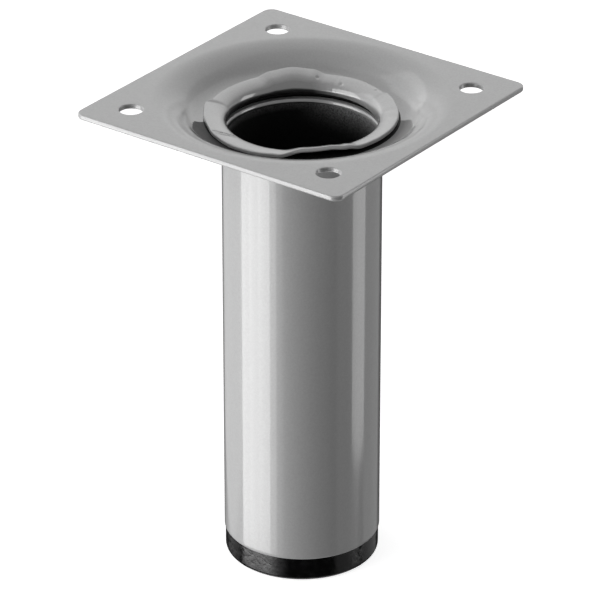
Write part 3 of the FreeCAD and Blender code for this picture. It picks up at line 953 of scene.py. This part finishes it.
# %% Build the cap
def make_moulded_cap():
    """The cap as one turned shell, closed at both ends of its axis."""
    bm = bmesh.new()
    columns = cap_columns()
    sections = [cap_section(plug_r) for _, plug_r in columns]
    rings = []
    for level in range(len(sections[0])):
        ring = []
        for (direction, _), section in zip(columns, sections):
            turn = math.radians(direction)
            r, z = section[level]
            ring.append(Vector((r * math.cos(turn), r * math.sin(turn), z)))
        rings.append(ring)
    made = add_rings(bm, rings)
    bm.faces.new(made[0])
    bm.faces.new(made[-1])
    finish_piece("moulded_cap", bm, [black_plastic], "foot_cap")


make_moulded_cap()

# %% [markdown]
# ## Floor and background
#
# The leg stands on a white floor that runs on into a white background. A floor bright enough to look
# white would also throw light up at the leg and wash out its dark side. So the floor's white is meant
# for the camera: part of it glows by itself, and the rest is ordinary paint that takes the leg's soft
# shadow. From below the floor is clear, so that the cap can be looked at from there too. It ends
# before it reaches the lamps, where it would turn dim, and the white background takes over.

# %% Mix the floor's white
FLOOR_GLOW = 0.80
FLOOR_PAINT = (0.8, 0.8, 0.8)


def make_white_floor():
    """White paint that also glows by itself, clear from below."""
    material = bpy.data.materials.new("white_floor")
    tree = emptied_tree(material)
    paint = tree.nodes.new("ShaderNodeBsdfDiffuse")
    paint.inputs["Color"].default_value = (*FLOOR_PAINT, 1.0)
    glow = tree.nodes.new("ShaderNodeEmission")
    glow.inputs["Strength"].default_value = FLOOR_GLOW
    both = tree.nodes.new("ShaderNodeAddShader")
    clear = tree.nodes.new("ShaderNodeBsdfTransparent")
    side = tree.nodes.new("ShaderNodeNewGeometry")
    choice = tree.nodes.new("ShaderNodeMixShader")
    output = tree.nodes.new("ShaderNodeOutputMaterial")
    tree.links.new(paint.outputs["BSDF"], both.inputs[0])
    tree.links.new(glow.outputs["Emission"], both.inputs[1])
    tree.links.new(side.outputs["Backfacing"], choice.inputs["Fac"])
    tree.links.new(both.outputs["Shader"], choice.inputs[1])
    tree.links.new(clear.outputs["BSDF"], choice.inputs[2])
    tree.links.new(choice.outputs["Shader"], output.inputs["Surface"])
    return material


white_floor = make_white_floor()
print("the floor glows at", FLOOR_GLOW)

# %% Lay the floor
FLOOR_HALF = 0.5


def hide_from(thing, *rays):
    """Hides an object from some kinds of rays."""
    for ray in rays:
        setattr(thing, "visible_" + ray, False)


def make_floor():
    """A white floor that only the camera sees."""
    bm = bmesh.new()
    corners = [(-1.0, -1.0), (1.0, -1.0), (1.0, 1.0), (-1.0, 1.0)]
    bm.faces.new([bm.verts.new((x * FLOOR_HALF, y * FLOOR_HALF, 0.0)) for x, y in corners])
    floor = add_object("floor", bm, [white_floor])
    hide_from(floor, "diffuse", "glossy", "transmission", "shadow")


make_floor()
print("the floor is", 2.0 * FLOOR_HALF, "m wide")

# %% [markdown]
# The world does two jobs. For the camera, for reflections and for anything seen through glass it is
# plain white, so the background is white and a glossy edge mirrors white. For soft light on matt
# surfaces it is only a dim grey, because the lamps do the lighting.

# %% Set the world
WORLD_FILL = 0.10


def make_world():
    """White where it is seen, dim where it lights."""
    world = bpy.data.worlds.new("studio")
    tree = emptied_tree(world)
    path = tree.nodes.new("ShaderNodeLightPath")
    seen = tree.nodes.new("ShaderNodeMath")
    seen.operation = "ADD"
    through = tree.nodes.new("ShaderNodeMath")
    through.operation = "ADD"
    through.use_clamp = True
    fill = tree.nodes.new("ShaderNodeBackground")
    fill.inputs["Strength"].default_value = WORLD_FILL
    white = tree.nodes.new("ShaderNodeBackground")
    white.inputs["Strength"].default_value = 1.0
    for background in (fill, white):
        background.inputs["Color"].default_value = (1.0, 1.0, 1.0, 1.0)
    choice = tree.nodes.new("ShaderNodeMixShader")
    output = tree.nodes.new("ShaderNodeOutputWorld")
    tree.links.new(path.outputs["Is Camera Ray"], seen.inputs[0])
    tree.links.new(path.outputs["Is Glossy Ray"], seen.inputs[1])
    tree.links.new(seen.outputs["Value"], through.inputs[0])
    tree.links.new(path.outputs["Is Transmission Ray"], through.inputs[1])
    tree.links.new(through.outputs["Value"], choice.inputs["Fac"])
    tree.links.new(fill.outputs["Background"], choice.inputs[1])
    tree.links.new(white.outputs["Background"], choice.inputs[2])
    tree.links.new(choice.outputs["Shader"], output.inputs["Surface"])
    bpy.context.scene.world = world


make_world()
print("the world fills at", WORLD_FILL)

# %% [markdown]
# ## Lights and dark cards
#
# A round tube is a mirror that shows the whole room squeezed into stripes, so lighting it means
# choosing what it mirrors. The main light stands on the left, as a wall of upright panels. Three
# bright ones, each brighter than the one before, give the broad stripe, and two dim ones beside them
# let it fade out as the border of a large softbox does. A wide wing farther left lights the tube's
# left flank. On the right a strip gives the faint second stripe, and two dim panels beside it keep
# that flank from going black. Above the wall a crown panel shines down into the lip, and a large soft
# panel behind the leg lights the top of the plate.
#
# Photographers add dark cards round a glossy thing on white ground, or else its edges would melt into
# the background. One dark band round the leg does that here: it is seen in reflections only, and the
# lamps stand in front of it.

# %% Set up the softboxes
LAMP_DISTANCE = 0.6
LEG_MIDDLE = Vector((0.0, 0.0, 50.0 * MM))


def around(turn, distance, height):
    """A place round the leg: degrees to the right of the camera, distance from the axis, and height."""
    angle = CAMERA_TURN - math.pi / 2.0 + math.radians(turn)
    return Vector((distance * math.cos(angle), distance * math.sin(angle), height))


def softbox(name, turn, distance, height, width, tall, radiance, aim=None):
    """A lit panel that stands upright, or faces a point. A radiance of 1 looks paper white."""
    lamp = bpy.data.lights.new(name, "AREA")
    lamp.shape = "RECTANGLE"
    lamp.size = width
    lamp.size_y = tall
    lamp.energy = radiance * math.pi * width * tall
    box = bpy.data.objects.new(name, lamp)
    bpy.context.scene.collection.objects.link(box)
    place = around(turn, distance, height)
    aim = Vector((0.0, 0.0, height)) if aim is None else aim
    box.location = place
    box.rotation_mode = "QUATERNION"
    box.rotation_quaternion = (aim - place).to_track_quat("-Z", "Y")
    hide_from(box, "camera")
    print(name, "at", [round(value, 2) for value in place], "gives", round(lamp.energy, 2), "watts")


print("upright panels stand", LAMP_DISTANCE, "m from the leg")

# %% Switch the softboxes on
# Name, turn in degrees, height of the middle, width and upright size in metres, and radiance
PANELS = (
    ("key_left_softbox", -88.3, -0.05, 0.18, 0.60, 3.5),
    ("key_softbox", -71.8, -0.05, 0.18, 0.60, 4.0),
    ("key_right_softbox", -55.8, -0.05, 0.17, 0.60, 4.5),
    ("rim_softbox", -43.0, -0.05, 0.12, 0.60, 2.25),
    ("skirt_softbox", -32.5, -0.05, 0.10, 0.60, 0.65),
    ("crown_softbox", -72.5, 0.475, 0.54, 0.45, 2.1),
    ("wing_softbox", -126.0, 0.175, 0.65, 1.05, 0.56),
    ("strip_softbox", 90.0, 0.08, 0.266, 0.78, 1.85),
    ("fill_softbox", 72.0, -0.18, 0.44, 0.54, 0.24),
    ("edge_softbox", 126.0, -0.10, 0.50, 0.60, 0.28),
)
for name, turn, height, width, tall, radiance in PANELS:
    softbox(name, turn, LAMP_DISTANCE, height, width, tall, radiance)
softbox("back_softbox", 180.0, 0.55, 0.65, 1.2, 0.9, 0.33, aim=LEG_MIDDLE)

# %% Stand the dark band round the leg
BAND_R = 0.75
BAND_LOW = -0.9
BAND_HIGH = 0.13
BAND_GREY = 0.02
BAND_POINTS = 96


def make_dark_band():
    """A dark band round the leg that shows in reflections only."""
    bm = bmesh.new()
    add_rings(bm, [circle((0.0, 0.0), BAND_R, height, BAND_POINTS) for height in (BAND_LOW, BAND_HIGH)])
    material = bpy.data.materials.new("dark_card")
    tree = emptied_tree(material)
    card = tree.nodes.new("ShaderNodeEmission")
    card.inputs["Strength"].default_value = BAND_GREY
    output = tree.nodes.new("ShaderNodeOutputMaterial")
    tree.links.new(card.outputs["Emission"], output.inputs["Surface"])
    band = add_object("dark_band", bm, [material])
    hide_from(band, "camera", "diffuse", "transmission", "shadow")


make_dark_band()
print("the band reaches", BAND_HIGH, "m high at", BAND_R, "m away")

# %% [markdown]
# ## Last steps
#
# The colours are shown as they are written, without a film look.

# %% Set the colour view
bpy.context.scene.view_settings.view_transform = "Standard"
